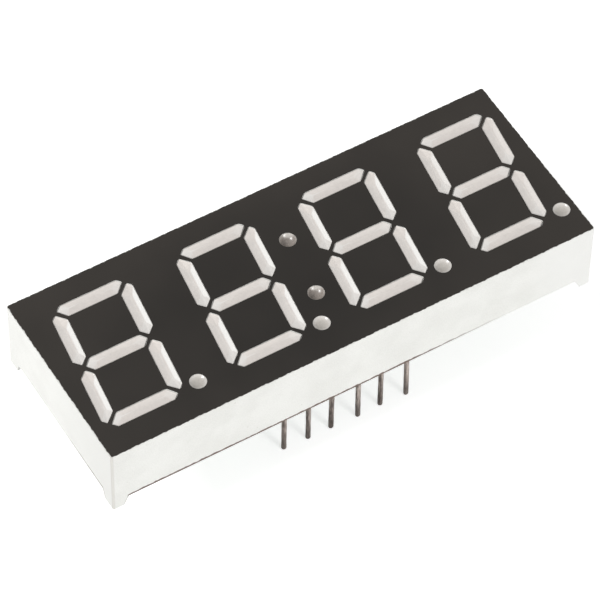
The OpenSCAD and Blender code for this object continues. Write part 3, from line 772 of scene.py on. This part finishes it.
solder = Finish("tin_solder", metallic=1.0, ior=1.5)
at = solder.place()
cloud = solder.noise(at, 3.0, 3.0, 0.5)
solder.feed(base_color=solder.mix(cloud.between(0.3, 0.7), colour(188, 186, 182), colour(214, 213, 210)),
            roughness=0.16 + cloud * 0.2)
solder.bump(cloud, 0.02, 0.5)
under, over = board_low[2], board_high[2]


def fillet_wobble(number):
    """How uneven a joint is: two and three swellings round it, as sines turned on from pin to pin."""
    return lambda turn, z: 0.02 * np.sin(2 * turn + number) + 0.012 * np.sin(3 * turn + 2 * number)


# From 0 on the board to 1 on the wire, the radius falls as a parabola and the height grows as one.
curve = np.linspace(0, 1, 7)
radii = (0.47 - 0.235 * (1 - (1 - curve) ** 2)) * MM
lower = list(zip(radii, under - 0.44 * MM * curve ** 2))[::-1]
upper = list(zip(radii, over + 0.17 * MM * curve ** 2))
in_hole = [(0.34 * MM, under + 0.01 * MM), (0.34 * MM, over - 0.01 * MM)]
joints = mesh_object("solder_fillets", *joined([turned(lower + in_hole + upper, middle, fillet_wobble(number))
                                                for number, middle in enumerate(PINS.values())]))
smooth(joints, 50)
shown_as(joints, solder, "solder", "solder_joints")


# ---- Chips, their glue and their wires ----
# A small block of semiconductor stands in each cavity on silver glue, with a round gold electrode
# on top. A gold wire is ball-bonded to it and runs in a loop to its pad.

CHIP_AROUND = 24                               # points round a chip
SQUARENESS = 2 / 0.12                          # the power in its outline's formula
ROUNDED_EDGE = 0.012 * MM                      # of its top


def square_ring(middle, half, level):
    """A square with rounded corners as a superellipse: a circle's point divided by the root of the sum of
    the powers of its two coordinates, where the power and the root are both SQUARENESS."""
    turn = np.linspace(0, 2 * np.pi, CHIP_AROUND + 1)[:-1] + np.pi / CHIP_AROUND
    x, y = np.cos(turn), np.sin(turn)
    reach = (np.abs(x) ** SQUARENESS + np.abs(y) ** SQUARENESS) ** (-1 / SQUARENESS)
    return np.c_[middle[0] + half * x * reach, middle[1] + half * y * reach, np.full(CHIP_AROUND, level)]


def dab_wobble(seed):
    """How uneven a dab of glue is: two sines round it with chance phases."""
    phase = np.random.default_rng(seed).uniform(0, FULL_TURN, 2)
    return lambda turn, z: 0.05 * np.sin(2 * turn + phase[0]) + 0.03 * np.sin(3 * turn + phase[1])


glass = Finish("semiconductor", roughness=0.2, ior=2.4)
gold_top = glass.node("ShaderNodeAttribute", {"attribute_name": "electrode"}, output="Fac")
at = glass.place()
cloud = glass.noise(at, 9.0, 3.0)
amber = glass.mix(cloud, colour(150, 128, 60), colour(184, 160, 88))
glass.feed(base_color=glass.mix(gold_top, amber, colour(222, 184, 92)), metallic=gold_top,
           roughness=0.2 + cloud * 0.15)
glue = Finish("silver_glue", metallic=0.6, ior=1.5)
at = glue.place()
flakes = glue.noise(at, 40.0, 2.0)
glue.feed(base_color=glue.mix(flakes, colour(150, 150, 148), colour(206, 206, 204)),
          roughness=0.3 + flakes * 0.25)
glue.bump(flakes, 0.004, 0.6)
gold = Finish("gold_wire", metallic=1.0, ior=1.5)
at = gold.place()
drawn = gold.noise(at, 20.0, 2.0)
gold.feed(base_color=gold.mix(drawn, colour(222, 178, 86), colour(240, 204, 120)),
          roughness=0.14 + drawn * 0.12)

# Radius and height in millimetres of a chip's round electrode and of the dab of glue under it.
ELECTRODE = [(0.058, 0.0), (0.056, 0.004), (0.03, 0.004)]
DAB = [(0.215, 0.0), (0.225, 0.006), (0.2, 0.02), (0.16, 0.045), (0.1, 0.05)]
# A bond wire's radius in millimetres at shares of its way: the ball, the wire and the flattened end.
WIRE_AT, WIRE_RADIUS = [0, 0.04, 0.09, 0.9, 0.95, 1], [0.03, 0.036, 0.0125, 0.0125, 0.02, 0.012]
SPAN = 0.697 * MM                              # from the middle of a chip to the end of its wire
# The way from a chip to its pad, right and back. All that are not listed have it to the front.
HEADINGS = {"a": (1, 0), "d": (1, 0), "g": (1, 0), "e": (0, 1), "f": (0, 1), "dp": (0, 1)}
dabs, loops = [], []
for name in [n for n in NODES if "_chip_" in n]:
    low, high = (np.array(c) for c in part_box(name))
    middle, half, top = (low + high) / 2, (high[0] - low[0]) / 2, high[2]
    rings = [square_ring(middle, half, low[2]), square_ring(middle, half, top - ROUNDED_EDGE),
             square_ring(middle, half - ROUNDED_EDGE, top)]
    turn = np.linspace(0, 2 * np.pi, CHIP_AROUND + 1)[:-1] + np.pi / CHIP_AROUND
    disc = np.c_[np.cos(turn), np.sin(turn)]
    for radius, rise in ELECTRODE:
        rings.append(np.c_[middle[:2] + disc * radius * MM, np.full(CHIP_AROUND, top + rise * MM)])
    die = mesh_object(name + "_die", *stack(rings))
    electrode = die.data.attributes.new("electrode", "FLOAT", "POINT")
    golden = np.repeat([0, 0, 0, 1, 1, 1], CHIP_AROUND)
    electrode.data.foreach_set("value", np.r_[golden, 0, 1].astype(np.float32))
    smooth(die, 30)
    shown_as(die, glass, "led_chip", name)

    dabs.append(turned([(radius * MM, over + height * MM) for radius, height in DAB], middle,
                       dab_wobble(len(dabs)), CHIP_AROUND))

    # The wire's way down to the pad is nearly straight, and a sine lifts it to a loop.
    heading = np.array(HEADINGS.get(name.rsplit("_", 1)[1], (0, -1)), float)
    along = np.linspace(0, 1, 15)
    rise = (top - over) * (1 - along) ** 0.8 + 0.17 * MM * np.sin(np.pi * along ** 0.6)
    path = np.c_[middle[:2] + heading * SPAN * along[:, None], over + rise + 0.006 * MM]
    ahead = np.gradient(path, axis=0)
    ahead /= np.linalg.norm(ahead, axis=1)[:, None]
    across = np.cross(ahead, [0, 0, 1])
    across /= np.linalg.norm(across, axis=1)[:, None]
    over_it = np.cross(across, ahead)
    thick = np.interp(along, WIRE_AT, WIRE_RADIUS) * MM
    ring = np.linspace(0, 2 * np.pi, 9)[:-1]
    loops.append(stack([p + t * (np.cos(ring)[:, None] * a + np.sin(ring)[:, None] * o)
                        for p, t, a, o in zip(path, thick, across, over_it)]))
glue_dabs = mesh_object("silver_glue_dabs", *joined(dabs))
smooth(glue_dabs, 50)
shown_as(glue_dabs, glue, "silver_epoxy", "die_attach")
wires = mesh_object("bond_wire_loops", *joined(loops))
smooth(wires, 60)
shown_as(wires, gold, "bond_wire", "bond_wires")
